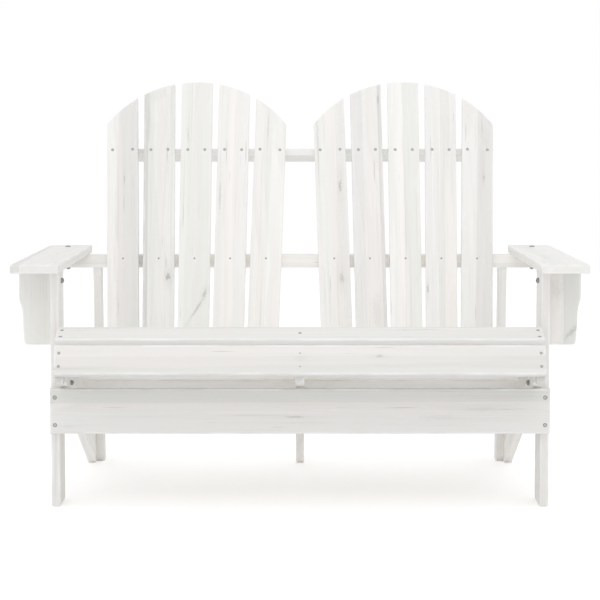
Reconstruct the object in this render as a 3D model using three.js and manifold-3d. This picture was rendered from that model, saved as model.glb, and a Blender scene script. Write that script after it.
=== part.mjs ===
// Adirondack loveseat in white-washed fir: one sloping seat for two under a pair of fan backs,
// carried on three long seat rails, two front legs and two rear posts, with flat arms.
//
// Units are millimetres and +Z is up. While it is built, +Y runs rearwards from the front face
// of the front legs and X = 0 is the middle. At the end the whole loveseat is moved so that the
// origin lies on the floor under the middle of its overall box.

import * as THREE from 'three';
import { mergeVertices } from 'three/addons/utils/BufferGeometryUtils.js';
import Module from 'manifold-3d';

const wasm = await Module();
wasm.setup();

// Timber stock
const boardThickness = 19;
const plankWidth = 98;
const noseBoardWidth = 68;
const apronWidth = 65;
const easedEdge = 2.5;
const frameEdge = 1;
const seatGap = 0.3;

// Seat frame
const seatWidth = 1042;
const seatSlope = 23;
const rearFootLength = 108;
const rearHeelRadius = 18;
const noseOverhang = 78.2;
const noseSlatOverhang = 5.5;
const noseSlope = 18;
const noseHang = 26;
const noseLipRadius = 11;
const bellyRun = 24;

// Seat slats behind the nose. Their width is what the gaps leave of the seat.
const seatSlatCount = 7;
const seatSlatGap = 12;
const noseSlatGap = 12;
const backSlatClearance = 6;

// Arms and what carries them
const armUnderside = 511;
const armWidth = 103;
const armFront = 60;
const armRearOverhang = 45;
const armInset = 6;
const armRearRadius = 46;
const armCornerRadius = 4;
const armRailHeight = 29;
const armRailDepth = 57.9;
const armRailInset = 27;
const armRailCorner = 5;

// Brackets under the arms, outside the front legs. They end a little above the leg bolts.
const bracketWidth = 72;
const bracketBoltGap = 18;
const bracketWaist = 65;
const bracketToeWidth = 62.5;
const bracketShoulderShare = 0.333;
const bracketCurveShare = 0.247;
const bracketToeRun = 8;
const bracketToeRise = 16;

// Rear posts inside the outer seat rails
const postDepth = 48;
const postTopInset = 4.6;
const postFootInset = 13;
const postLean = 5;
const postFootChamfer = 14;

// Twin fan backs. Heights on the back are measured up its slope from the arm underside, and the
// slats' width is what the gaps leave of the seat's width.
const recline = 24;
const backFaceDepth = 570;
const slatsPerFan = 5;
const backSlatGap = 10.6;
const fanSideInset = 54.2;
const fanMiddleGap = 88.8;
const fanSpreadShare = 0.0149;
const archCentre = 191;
const archMargin = 59.8;
const upperRailHeight = 281;
const upperRailDepth = 41;
const upperRailInset = 8;

// Bolts and nuts
const boltDiameter = 6;
const boltClearance = 0.3;
const boltHeadDiameter = 13;
const boltHeadHeight = 2.6;
const boltEndLength = 1.6;
const boltTip = 0.75;
const nutSides = 6;
const nutAcrossFlats = 10;
const nutHeight = 5;
const upperBoltDistance = 21;
const lowerBoltDistance = 26;
const bracketStudDrop = 22;
const bracketStudDepth = 45;

// Fineness of the round stretches
const edgeSteps = 2;
const cornerSteps = 6;
const headSteps = 4;
const boltSides = 12;
const cutOverrun = 1;

// Finishes
const timber = { color: 0xeeeee9, roughness: 0.72, metalness: 0 };
const zincSteel = { color: 0x77787a, roughness: 0.42, metalness: 0.9 };

const halfTurn = Math.PI;
const quarterTurn = halfTurn / 2;
const radians = THREE.MathUtils.degToRad;
const slope = radians(seatSlope);
const nose = radians(noseSlope);
const lean = radians(recline);
const fanTilt = Math.atan(fanSpreadShare);

// Worked out from the driving dimensions
const railOuter = seatWidth / 2;
const railInner = railOuter - boardThickness;
const legOuter = railOuter + boardThickness;
const legMiddle = plankWidth / 2;
const armInner = railOuter - armInset;
const armOuter = armInner + armWidth;
const armTop = armUnderside + boardThickness;
const armRailUnderside = armUnderside - armRailHeight;
const bracketStudHeight = armUnderside - bracketStudDrop;

// One fan of the back, at the height of the arm underside
const fanWidth = railOuter - fanSideInset - fanMiddleGap / 2;
const fanOffset = (fanMiddleGap + fanWidth) / 2;
const backSlatWidth = (fanWidth - (slatsPerFan - 1) * backSlatGap) / slatsPerFan;
const fanPitch = backSlatWidth + backSlatGap;
const archRadius = fanWidth / 2 + archMargin;

// The back slats stand on a plane that leans back. Its origin is on their rear faces.
const upBack = new THREE.Vector2(Math.sin(lean), Math.cos(lean));
const outOfBack = new THREE.Vector2(-Math.cos(lean), Math.sin(lean));
const backOrigin = new THREE.Vector2(backFaceDepth, armUnderside)
  .addScaledVector(outOfBack, -boardThickness);

// The arm rail lies behind that plane, on the leaning rear posts, which end in the rails' feet.
const armRailFront = (z) => backOrigin.x + (z - backOrigin.y) * Math.tan(lean) + seatGap;
const armRailRear = armRailFront(armUnderside) + armRailDepth;
const armRear = armRailRear + armRearOverhang;
const postTop = armRailFront(armRailUnderside) + postTopInset;
const postFront = (z) => postTop + (armRailUnderside - z) * Math.tan(radians(postLean));
const rearFootDepth = postFront(0) - postFootInset;

// The lower edge of a seat rail is one straight slope that meets the floor at the rear foot.
const railUnderside = (y) => Math.tan(slope) * (rearFootDepth - y);
const railTopLift = plankWidth / Math.cos(slope);
const railTop = (y) => railUnderside(y) + railTopLift;

const upperLegBoltHeight = railTop(legMiddle) - upperBoltDistance;
const bracketFoot = upperLegBoltHeight + boltHeadDiameter / 2 + bracketBoltGap;
const bracketHeight = armUnderside - bracketFoot;

// Directions in the side view: up the rail, across it, and along the nose bevel.
const alongRail = new THREE.Vector2(-Math.cos(slope), Math.sin(slope));
const acrossRail = new THREE.Vector2(Math.sin(slope), Math.cos(slope));
const alongNose = new THREE.Vector2(Math.cos(nose), Math.sin(nose));

// The nose bevel is as long as the first slat that lies on it, less what hangs over behind.
const noseBevelLength = noseBoardWidth - noseSlatOverhang;
const noseFaceHeight = plankWidth - noseBevelLength * Math.sin(slope + nose);
const railLength = (rearFootDepth + noseOverhang + noseFaceHeight * acrossRail.x) / -alongRail.x;
const railFoot = new THREE.Vector2(rearFootDepth, 0);
const railPoint = (along, across) => railFoot.clone()
  .addScaledVector(alongRail, along)
  .addScaledVector(acrossRail, across);
const noseCorner = railPoint(railLength, noseFaceHeight);
const railShoulder = noseCorner.clone().addScaledVector(alongNose, noseBevelLength);
const noseToe = railPoint(railLength, -noseHang);

// How far up the back a line parallel to it, a given distance behind, meets the rails' top edge.
function heightOnRails(behind) {
  const start = backOrigin.clone().addScaledVector(outOfBack, -behind);
  const above = start.y - railTop(start.x);
  return -above / (upBack.y + Math.tan(slope) * upBack.x);
}
const slatBottom = heightOnRails(0);
const backAtSeat = backOrigin.clone()
  .addScaledVector(outOfBack, boardThickness)
  .addScaledVector(upBack, heightOnRails(-boardThickness));
const seatRun = railShoulder.distanceTo(backAtSeat) - noseSlatGap - backSlatClearance;
const seatSlatWidth = (seatRun - (seatSlatCount - 1) * seatSlatGap) / seatSlatCount;

const loveseat = new THREE.Group();

// Adds one finished piece of timber or steel to its group.
function addPiece(group, name, geometry, finish) {
  const mesh = new THREE.Mesh(geometry, new THREE.MeshStandardMaterial(finish));
  mesh.name = name;
  group.add(mesh);
  return mesh;
}

// A board with this face outline. All its edges are eased, and it lies on the XY plane.
function easedBoard(shape, thickness = boardThickness, ease = easedEdge) {
  return new THREE.ExtrudeGeometry(shape, {
    depth: thickness - 2 * ease,
    bevelEnabled: true,
    bevelThickness: ease,
    bevelSize: ease,
    bevelOffset: -ease,
    bevelSegments: edgeSteps,
    curveSegments: cornerSteps,
  }).translate(0, 0, ease);
}

// The same board standing in the side view, with its thickness along +X.
function sideBoard(shape, thickness = boardThickness, ease = easedEdge) {
  return easedBoard(shape, thickness, ease).rotateY(quarterTurn).rotateX(quarterTurn);
}

// A board of the frame, whose edges are left nearly sharp.
function frameBoard(shape) {
  return sideBoard(shape, boardThickness, frameEdge);
}

function rectangle(x0, y0, x1, y1) {
  const corners = [[x0, y0], [x1, y0], [x1, y1], [x0, y1]];
  return new THREE.Shape(corners.map(([x, y]) => new THREE.Vector2(x, y)));
}

// A closed outline through these corners, each one rounded by its own radius.
function roundedOutline(corners) {
  const shape = new THREE.Shape();
  corners.forEach(({ at, radius = 0 }, i) => {
    const before = corners.at(i - 1).at;
    const after = corners[(i + 1) % corners.length].at;
    const toBefore = before.clone().sub(at).normalize();
    const toAfter = after.clone().sub(at).normalize();
    const halfAngle = Math.acos(toBefore.dot(toAfter)) / 2;
    const reach = radius / Math.tan(halfAngle);
    const from = at.clone().addScaledVector(toBefore, reach);
    const to = at.clone().addScaledVector(toAfter, reach);
    if (i === 0) shape.moveTo(from.x, from.y);
    else shape.lineTo(from.x, from.y);
    if (radius > 0) shape.quadraticCurveTo(at.x, at.y, to.x, to.y);
  });
  shape.closePath();
  return shape;
}

function toSolid(geometry) {
  const bare = geometry.clone();
  bare.deleteAttribute('normal');
  bare.deleteAttribute('uv');
  const merged = mergeVertices(bare);
  return new wasm.Manifold(new wasm.Mesh({
    numProp: 3,
    vertProperties: new Float32Array(merged.attributes.position.array),
    triVerts: new Uint32Array(merged.index.array),
  }));
}

function toGeometry(solid) {
  const mesh = solid.getMesh();
  const geometry = new THREE.BufferGeometry();
  geometry.setAttribute('position', new THREE.BufferAttribute(mesh.vertProperties, 3));
  geometry.setIndex(new THREE.BufferAttribute(mesh.triVerts, 1));
  return geometry;
}

// Drills round bolt holes. Each hole is given by the two ends of its axis.
function drilled(geometry, holes) {
  let solid = toSolid(geometry);
  for (const [from, to] of holes) {
    const axis = to.clone().sub(from);
    const radius = boltDiameter / 2 + boltClearance;
    const drill = new THREE.CylinderGeometry(radius, radius, axis.length() + 2 * cutOverrun, boltSides);
    const turn = new THREE.Quaternion().setFromUnitVectors(
      new THREE.Vector3(0, 1, 0), axis.clone().normalize());
    const middle = from.clone().add(to).divideScalar(2);
    drill.applyQuaternion(turn).translate(middle.x, middle.y, middle.z);
    solid = solid.subtract(toSolid(drill));
  }
  return toGeometry(solid);
}

// A hole right through a board that stands in the side view, at this depth and height.
const crossHole = (y, z, thickness = boardThickness) => [
  new THREE.Vector3(0, y, z),
  new THREE.Vector3(thickness, y, z),
];

// Bolt places in the side view
const legBoltPlaces = [
  new THREE.Vector2(legMiddle, railUnderside(legMiddle) + lowerBoltDistance),
  new THREE.Vector2(legMiddle, upperLegBoltHeight),
];
const armBoltPlace = new THREE.Vector2(
  (armInner + armOuter) / 2,
  (backFaceDepth + boardThickness + armRailRear) / 2,
);

function seatRailOutline() {
  const level = noseToe.y;
  const bellyMiddle = rearFootDepth - level / Math.tan(slope);
  const heel = rearFootDepth + rearFootLength;
  const shape = new THREE.Shape();
  shape.moveTo(rearFootDepth, 0);
  shape.lineTo(heel, 0);
  shape.lineTo(heel, railTop(heel) - rearHeelRadius);
  const heelBack = heel - rearHeelRadius;
  shape.quadraticCurveTo(heel, railTop(heel), heelBack, railTop(heelBack));
  shape.lineTo(railShoulder.x, railShoulder.y);
  shape.lineTo(noseCorner.x, noseCorner.y);
  const lip = noseToe.clone().addScaledVector(acrossRail, noseLipRadius);
  shape.lineTo(lip.x, lip.y);
  shape.quadraticCurveTo(noseToe.x, level, noseToe.x + noseLipRadius, level);
  shape.lineTo(bellyMiddle - bellyRun, level);
  const bellyEnd = bellyMiddle + bellyRun;
  shape.quadraticCurveTo(bellyMiddle, level, bellyEnd, railUnderside(bellyEnd));
  shape.closePath();
  return shape;
}

function addSeatRails() {
  const places = {
    seat_rail_left: { x: -railOuter, bolted: true },
    seat_rail_centre: { x: -boardThickness / 2, bolted: false },
    seat_rail_right: { x: railInner, bolted: true },
  };
  for (const [name, { x, bolted }] of Object.entries(places)) {
    const plain = frameBoard(seatRailOutline());
    const holes = legBoltPlaces.map((p) => crossHole(p.x, p.y));
    const rail = addPiece(loveseat, name, bolted ? drilled(plain, holes) : plain, timber);
    rail.position.x = x;
  }
}

function addFrontLegs() {
  const holes = legBoltPlaces.map((p) => crossHole(p.x, p.y));
  holes.push(crossHole(legMiddle, bracketStudHeight));
  for (const [side, x] of [['left', -legOuter], ['right', railOuter]]) {
    const leg = sideBoard(rectangle(0, 0, plankWidth, armUnderside));
    addPiece(loveseat, `front_leg_${side}`, drilled(leg, holes), timber).position.x = x;
  }
}

function addRearPosts() {
  const chamferTop = postFront(postFootChamfer);
  const outline = new THREE.Shape([
    new THREE.Vector2(chamferTop + postFootChamfer, 0),
    new THREE.Vector2(postFront(0) + postDepth, 0),
    new THREE.Vector2(postTop + postDepth, armRailUnderside),
    new THREE.Vector2(postTop, armRailUnderside),
    new THREE.Vector2(chamferTop, postFootChamfer),
  ]);
  for (const [side, x] of [['left', -railInner], ['right', railInner - boardThickness]]) {
    addPiece(loveseat, `rear_post_${side}`, frameBoard(outline), timber).position.x = x;
  }
}

// The stretcher lies flat against the front legs, and the seat rails rest on its rear top edge.
function addFrontStretcher() {
  const top = railUnderside(0) - seatGap;
  const board = easedBoard(rectangle(-legOuter, 0, legOuter, plankWidth));
  const stretcher = addPiece(loveseat, 'front_stretcher', board, timber);
  stretcher.rotation.x = quarterTurn;
  stretcher.position.z = top - plankWidth;
}

// A group turned about X so that a board's width runs at this angle above the level.
function slopedGroup(corner, angle) {
  const group = new THREE.Group();
  group.position.set(0, corner.x, corner.y);
  group.rotation.x = angle;
  loveseat.add(group);
  return group;
}

function crossSlat(width) {
  return easedBoard(rectangle(-railOuter, 0, railOuter, width));
}

// The apron covers the square end of the rails and the first slat covers their nose bevel.
function addNoseBoards() {
  const front = slopedGroup(noseCorner, quarterTurn - slope);
  const apron = addPiece(front, 'front_apron', crossSlat(apronWidth), timber);
  apron.position.set(0, -apronWidth, seatGap);
  const bevel = slopedGroup(noseCorner, nose);
  addPiece(bevel, 'seat_slat_1', crossSlat(noseBoardWidth), timber).position.z = seatGap;
}

function addSeatSlats() {
  const seat = slopedGroup(railShoulder, -slope);
  for (let i = 0; i < seatSlatCount; i += 1) {
    const slat = addPiece(seat, `seat_slat_${i + 2}`, crossSlat(seatSlatWidth), timber);
    slat.position.set(0, noseSlatGap + i * (seatSlatWidth + seatSlatGap), seatGap);
  }
}

// One back slat in its own frame, cut off at the top by the arch of its fan.
function backSlat(step) {
  const half = backSlatWidth / 2;
  const centre = new THREE.Vector2(-step * fanPitch, archCentre)
    .rotateAround(new THREE.Vector2(0, 0), step * fanTilt);
  const edgeHeight = (x) => centre.y + Math.sqrt(archRadius ** 2 - (x - centre.x) ** 2);
  const edgeAngle = (x) => Math.atan2(edgeHeight(x) - centre.y, x - centre.x);
  const shape = new THREE.Shape();
  shape.moveTo(-half, slatBottom);
  shape.lineTo(half, slatBottom);
  shape.lineTo(half, edgeHeight(half));
  shape.absarc(centre.x, centre.y, archRadius, edgeAngle(half), edgeAngle(-half), false);
  shape.closePath();
  return easedBoard(shape);
}

function addBacks(back) {
  for (const [side, middle] of [['left', -fanOffset], ['right', fanOffset]]) {
    const fan = new THREE.Group();
    fan.position.x = middle;
    back.add(fan);
    for (let i = 0; i < slatsPerFan; i += 1) {
      const step = i - (slatsPerFan - 1) / 2;
      const slat = addPiece(fan, `back_slat_${side}_${i + 1}`, backSlat(step), timber);
      slat.position.x = step * fanPitch;
      slat.rotation.z = -step * fanTilt;
    }
  }
}

// The upper rail ties the two fans together and stands edge-on behind them.
function addUpperBackRail(back) {
  const outermost = (slatsPerFan - 1) / 2;
  const spread = fanPitch + upperRailHeight * fanSpreadShare;
  const reach = fanOffset + outermost * spread + backSlatWidth / 2 - upperRailInset;
  const board = easedBoard(rectangle(-reach, 0, reach, boardThickness), upperRailDepth);
  const rail = addPiece(back, 'back_rail_upper', board, timber);
  rail.position.set(0, upperRailHeight - boardThickness / 2, -upperRailDepth - seatGap);
}

// The lower rail stands square on the seat rails, behind the feet of the back slats.
function addLowerBackRail(back) {
  const rail = addPiece(back, 'back_rail_lower', crossSlat(noseBoardWidth), timber);
  const foot = Math.max(heightOnRails(seatGap), heightOnRails(boardThickness + seatGap));
  rail.position.set(0, foot + seatGap, -boardThickness - seatGap);
}

// The arm rail lies on the rear posts. Its front is bevelled to the lean of the back.
function addArmRail() {
  const half = armOuter - armRailInset;
  const section = roundedOutline([
    { at: new THREE.Vector2(armRailFront(armRailUnderside), armRailUnderside) },
    { at: new THREE.Vector2(armRailRear, armRailUnderside), radius: armRailCorner },
    { at: new THREE.Vector2(armRailRear, armUnderside), radius: armRailCorner },
    { at: new THREE.Vector2(armRailFront(armUnderside), armUnderside) },
  ]);
  const holes = [-1, 1].map((side) => [
    new THREE.Vector3(half + side * armBoltPlace.x, armBoltPlace.y, armRailUnderside),
    new THREE.Vector3(half + side * armBoltPlace.x, armBoltPlace.y, armUnderside),
  ]);
  const rail = addPiece(loveseat, 'arm_rail', drilled(sideBoard(section, 2 * half), holes), timber);
  rail.position.x = -half;
}

function addArms() {
  for (const [side, sign] of [['left', -1], ['right', 1]]) {
    const corner = (x, y, radius) => ({ at: new THREE.Vector2(sign * x, y), radius });
    const corners = [
      corner(armInner, -armFront, armCornerRadius),
      corner(armOuter, -armFront, armCornerRadius),
      corner(armOuter, armRear, armRearRadius),
      corner(armInner, armRear, armCornerRadius),
    ];
    if (sign < 0) corners.reverse();
    const bolt = new THREE.Vector3(sign * armBoltPlace.x, armBoltPlace.y, 0);
    const hole = [bolt, bolt.clone().setZ(boardThickness)];
    const arm = drilled(easedBoard(roundedOutline(corners)), [hole]);
    addPiece(loveseat, `arm_${side}`, arm, timber).position.z = armUnderside;
  }
}

function bracketOutline() {
  const top = bracketHeight;
  const neck = top * (1 - bracketShoulderShare);
  const waist = neck - top * bracketCurveShare;
  const middle = (neck + waist) / 2;
  const shape = new THREE.Shape();
  shape.moveTo(0, 0);
  shape.lineTo(bracketToeWidth - bracketToeRun, 0);
  shape.quadraticCurveTo(bracketToeWidth, 0, bracketToeWidth, bracketToeRise);
  shape.lineTo(bracketWaist, waist);
  shape.bezierCurveTo(bracketWaist, middle, bracketWidth, middle, bracketWidth, neck);
  shape.lineTo(bracketWidth, top);
  shape.lineTo(0, top);
  shape.closePath();
  return shape;
}

function addArmBrackets() {
  const stud = bracketStudHeight - bracketFoot;
  const hole = [
    new THREE.Vector3(0, stud, boardThickness / 2),
    new THREE.Vector3(bracketStudDepth, stud, boardThickness / 2),
  ];
  for (const [side, sign] of [['left', -1], ['right', 1]]) {
    const board = drilled(easedBoard(bracketOutline()), [hole]);
    const bracket = addPiece(loveseat, `arm_bracket_${side}`, board, timber);
    // The left one is the same board turned half round about its upright edge.
    bracket.rotation.set(quarterTurn, sign < 0 ? halfTurn : 0, 0);
    const rear = legMiddle + sign * boardThickness / 2;
    bracket.position.set(sign * legOuter, rear, bracketFoot);
  }
}

// A round-headed bolt along +Y: its head starts at zero and its shank runs the other way.
function bolt(shankLength) {
  const headRadius = boltHeadDiameter / 2;
  const shankRadius = boltDiameter / 2;
  const profile = [new THREE.Vector2(0, -shankLength)];
  profile.push(new THREE.Vector2(shankRadius - boltTip, -shankLength));
  profile.push(new THREE.Vector2(shankRadius, -shankLength + boltTip));
  profile.push(new THREE.Vector2(shankRadius, 0));
  for (let i = 0; i <= headSteps; i += 1) {
    const angle = (quarterTurn * i) / headSteps;
    const x = i === headSteps ? 0 : headRadius * Math.cos(angle);
    profile.push(new THREE.Vector2(x, boltHeadHeight * Math.sin(angle)));
  }
  return new THREE.LatheGeometry(profile, boltSides);
}

// A bare threaded stud along +Y that is centred on its length.
function stud(length) {
  const radius = boltDiameter / 2;
  const half = length / 2;
  return new THREE.LatheGeometry([
    new THREE.Vector2(0, -half),
    new THREE.Vector2(radius - boltTip, -half),
    new THREE.Vector2(radius, -half + boltTip),
    new THREE.Vector2(radius, half - boltTip),
    new THREE.Vector2(radius - boltTip, half),
    new THREE.Vector2(0, half),
  ], boltSides);
}

// A hexagon nut along +Y that starts at zero, with its bolt hole.
function nut() {
  const side = halfTurn / nutSides;
  const corner = nutAcrossFlats / 2 / Math.cos(side);
  const points = [];
  for (let i = 0; i < nutSides; i += 1) {
    const angle = 2 * side * i;
    points.push(new THREE.Vector2(corner * Math.cos(angle), corner * Math.sin(angle)));
  }
  const shape = new THREE.Shape(points);
  const hole = new THREE.Path();
  hole.absarc(0, 0, boltDiameter / 2 + boltClearance, 0, 2 * halfTurn, true);
  shape.holes.push(hole);
  const geometry = new THREE.ExtrudeGeometry(shape, {
    depth: nutHeight,
    bevelEnabled: false,
    curveSegments: boltSides / 2,
  });
  return geometry.rotateX(-quarterTurn);
}

// Puts a bolt and its nut through a stack of boards. The head points along the given way.
function addBoltAndNut(name, headAt, outwards, gripLength) {
  const turn = new THREE.Quaternion().setFromUnitVectors(new THREE.Vector3(0, 1, 0), outwards);
  const shank = gripLength + 2 * seatGap + nutHeight + boltEndLength;
  const boltMesh = addPiece(loveseat, name, bolt(shank), zincSteel);
  boltMesh.quaternion.copy(turn);
  boltMesh.position.copy(headAt).addScaledVector(outwards, seatGap);
  const nutMesh = addPiece(loveseat, name.replace('bolt', 'nut'), nut(), zincSteel);
  nutMesh.quaternion.copy(turn);
  nutMesh.position.copy(headAt).addScaledVector(outwards, -gripLength - seatGap - nutHeight);
}

function addLegBolts() {
  for (const [side, sign] of [['left', -1], ['right', 1]]) {
    const outwards = new THREE.Vector3(sign, 0, 0);
    legBoltPlaces.forEach((place, i) => {
      const head = new THREE.Vector3(sign * legOuter, place.x, place.y);
      const level = i === 0 ? 'lower' : 'upper';
      addBoltAndNut(`leg_bolt_${level}_${side}`, head, outwards, 2 * boardThickness);
    });
  }
}

function addArmBolts() {
  const up = new THREE.Vector3(0, 0, 1);
  for (const [side, sign] of [['left', -1], ['right', 1]]) {
    const head = new THREE.Vector3(sign * armBoltPlace.x, armBoltPlace.y, armTop);
    addBoltAndNut(`arm_bolt_${side}`, head, up, boardThickness + armRailHeight);
  }
}

// A stud runs from inside each front leg into the edge of its bracket, with a nut on the inside.
function addBracketStuds() {
  for (const [side, sign] of [['left', -1], ['right', 1]]) {
    const outwards = new THREE.Vector3(sign, 0, 0);
    const turn = new THREE.Quaternion().setFromUnitVectors(new THREE.Vector3(0, 1, 0), outwards);
    const inner = railOuter - seatGap - nutHeight - boltEndLength;
    const outer = legOuter + bracketStudDepth;
    const piece = addPiece(loveseat, `bracket_stud_${side}`, stud(outer - inner), zincSteel);
    piece.quaternion.copy(turn);
    piece.position.set(sign * (inner + outer) / 2, legMiddle, bracketStudHeight);
    const cap = addPiece(loveseat, `bracket_nut_${side}`, nut(), zincSteel);
    cap.quaternion.copy(turn);
    cap.position.set(sign * (railOuter - seatGap - nutHeight), legMiddle, bracketStudHeight);
  }
}

addSeatRails();
addFrontLegs();
addRearPosts();
addFrontStretcher();
addNoseBoards();
addSeatSlats();
const backs = slopedGroup(backOrigin, quarterTurn - lean);
addBacks(backs);
addUpperBackRail(backs);
addLowerBackRail(backs);
addArmRail();
addArms();
addArmBrackets();
addLegBolts();
addArmBolts();
addBracketStuds();

// The origin goes under the middle of the overall box.
loveseat.updateMatrixWorld(true);
const overall = new THREE.Box3().setFromObject(loveseat, true);
loveseat.position.y = -(overall.min.y + overall.max.y) / 2;

export default loveseat;
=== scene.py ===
"""Adirondack loveseat in white-washed fir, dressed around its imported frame.

Lengths are metres and +Z is up. The seat faces -Y, X = 0 is its middle, and left and right are
those of someone who stands in front of it. Every board takes its outline from the frame and gets
rounded arrises, screw seats and a grain of its own.
"""

import functools
import logging
import math
import random
from collections.abc import Iterable, Sequence
from dataclasses import dataclass, field
from enum import Enum

import bmesh
import bpy
import numpy as np
from bpy.types import ID, Material, Mesh, Node, NodeOutputs, NodeTree, Object
from bpy.types import NodeSocket as Socket
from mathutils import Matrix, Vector


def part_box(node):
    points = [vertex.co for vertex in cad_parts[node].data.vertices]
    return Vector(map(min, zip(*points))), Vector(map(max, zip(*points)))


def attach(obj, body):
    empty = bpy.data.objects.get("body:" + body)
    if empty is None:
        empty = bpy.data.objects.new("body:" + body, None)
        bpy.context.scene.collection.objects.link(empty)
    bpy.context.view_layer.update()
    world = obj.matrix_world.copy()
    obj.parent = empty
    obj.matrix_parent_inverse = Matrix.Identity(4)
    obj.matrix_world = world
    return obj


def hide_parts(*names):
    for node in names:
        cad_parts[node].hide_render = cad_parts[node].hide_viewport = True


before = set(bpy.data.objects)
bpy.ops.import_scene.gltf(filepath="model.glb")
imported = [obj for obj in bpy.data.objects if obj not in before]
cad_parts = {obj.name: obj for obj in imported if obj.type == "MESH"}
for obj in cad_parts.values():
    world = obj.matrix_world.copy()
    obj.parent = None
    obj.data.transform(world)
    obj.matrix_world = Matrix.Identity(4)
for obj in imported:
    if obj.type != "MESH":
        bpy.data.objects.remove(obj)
log = logging.getLogger("loveseat")

BODY = "root"
RIGHT = Vector((1, 0, 0))
REAR = Vector((0, 1, 0))
UP = Vector((0, 0, 1))

Colour = tuple[float, float, float]
Skin = tuple[np.ndarray, list[list[int]]]


class Side(Enum):
    """The two sides of the loveseat, each with its sign on X."""

    LEFT = -1
    RIGHT = 1

    @property
    def label(self) -> str:
        """The side's word in the names of the frame's nodes."""
        return self.name.lower()


class Bore(Enum):
    """What a steel fastener has in its middle."""

    SOLID = "solid"
    HEX_SOCKET = "hex socket"


def rising(degrees: float) -> Vector:
    """Gives the unit vector in the side view that runs rearwards and up at an angle."""
    angle = math.radians(degrees)
    return Vector((0, math.cos(angle), math.sin(angle)))


class Wiring:
    """Adds nodes to one node tree and links them."""

    def __init__(self, tree: NodeTree) -> None:
        """Takes the tree that is wired."""
        self.tree = tree

    def feed(self, node: Node, values: dict) -> None:
        """Gives a node's inputs what they read.

        Args:
            node: the node.
            values: for each input, by name or number, a socket to link or a plain value.
        """
        for name, value in values.items():
            target = node.inputs[name]
            if isinstance(value, Socket):
                self.tree.links.new(value, target)
            elif isinstance(value, tuple) and target.type == "RGBA":
                target.default_value = (*value, 1)
            else:
                target.default_value = value

    def node(self, kind: str, inputs: dict | None = None, **settings: object) -> Node:
        """Adds a node.

        Args:
            kind: the node's type name.
            inputs: what its inputs read.
            **settings: the node's own properties.

        Returns:
            The new node.
        """
        made = self.tree.nodes.new(kind)
        for name, value in settings.items():
            setattr(made, name, value)
        self.feed(made, inputs or {})
        return made

    def group(self, tree: NodeTree, inputs: dict) -> NodeOutputs:
        """Places a shared group and gives its outputs."""
        return self.node("ShaderNodeGroup", inputs, node_tree=tree).outputs

    def attribute(self, name: str, output: str = "Vector") -> Socket:
        """Reads one of the mesh's attributes."""
        return self.node("ShaderNodeAttribute", attribute_name=name).outputs[output]

    def math(self, operation: str, *values: object) -> Socket:
        """Adds a Math node and gives its result."""
        return self.node("ShaderNodeMath", dict(enumerate(values)), operation=operation).outputs[0]

    def times(self, value: object, factor: object) -> Socket:
        """Multiplies two values."""
        return self.math("MULTIPLY", value, factor)

    def largest(self, *values: Socket) -> Socket:
        """Gives the largest of some values."""
        return functools.reduce(functools.partial(self.math, "MAXIMUM"), values)

    def distance(self, x: Socket, y: Socket) -> Socket:
        """Gives the length of the way that has these two parts."""
        return self.math("SQRT", self.math("ADD", self.times(x, x), self.times(y, y)))

    def vector(self, operation: str, *values: object) -> Socket:
        """Adds a Vector Math node and gives its result."""
        return self.node("ShaderNodeVectorMath", dict(enumerate(values)), operation=operation).outputs[0]

    def scaled(self, vector: Socket, factors: tuple[float, float, float]) -> Socket:
        """Scales each part of a vector by its own factor."""
        return self.vector("MULTIPLY", vector, factors)

    def parts(self, value: Socket, kind: str = "XYZ") -> NodeOutputs:
        """Splits a vector or a colour into its three parts."""
        return self.node(f"ShaderNodeSeparate{kind}", {0: value}).outputs

    def joined(self, **parts: object) -> Socket:
        """Joins parts named X, Y and Z into a vector."""
        return self.node("ShaderNodeCombineXYZ", parts).outputs[0]

    def noise(self, at: Socket, scale: float, detail: float = 2, roughness: float = 0.5) -> Socket:
        """Adds noise with a scale in each metre, and with finer layers of a number and a strength."""
        values = {"Vector": at, "Scale": scale, "Detail": detail, "Roughness": roughness}
        return self.node("ShaderNodeTexNoise", values).outputs[0]

    def drawn_out(self, at: Socket, scales: tuple[float, float, float], detail: float = 2,
                  roughness: float = 0.5) -> Socket:
        """Adds noise with a scale of its own along the board, across it and through it."""
        return self.noise(self.scaled(at, scales), 1.0, detail, roughness)

    def ramp(self, value: Socket, low: float, high: float, start: float = 0, end: float = 1) -> Socket:
        """Turns a value smoothly into another, from start where it is low to end where it is high."""
        inputs = {0: value, 1: low, 2: high, 3: start, 4: end}
        return self.node("ShaderNodeMapRange", inputs, interpolation_type="SMOOTHSTEP").outputs[0]

    def tint(self, mask: object, below: object, above: object) -> Socket:
        """Lays one colour over another as far as a mask lets it show."""
        return self.node("ShaderNodeMix", {0: mask, 6: below, 7: above}, data_type="RGBA").outputs[2]

    def seen(self) -> Socket:
        """Gives 1 for the rays that show a thing and 0 for those that carry its light to others."""
        path = self.node("ShaderNodeLightPath").outputs
        return self.largest(*(path[f"Is {kind} Ray"] for kind in ("Camera", "Glossy", "Transmission")))


class Group(Wiring):
    """A node group with named inputs and outputs, ready to be wired."""

    def __init__(self, name: str, inputs: dict[str, Sequence[str]], outputs: dict[str, Sequence[str]],
                 family: str = "Shader") -> None:
        """Starts the group.

        Args:
            name: the group's name.
            inputs: the names of its inputs, for each kind of socket.
            outputs: the names of its outputs in the same way.
            family: the kind of node tree.
        """
        super().__init__(bpy.data.node_groups.new(name, f"{family}NodeTree"))
        for way, kinds in (("INPUT", inputs), ("OUTPUT", outputs)):
            for kind, labels in kinds.items():
                for label in labels:
                    self.tree.interface.new_socket(label, in_out=way, socket_type=f"NodeSocket{kind}")
        self.given = self.node("NodeGroupInput").outputs
        self.end = self.node("NodeGroupOutput")


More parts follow.
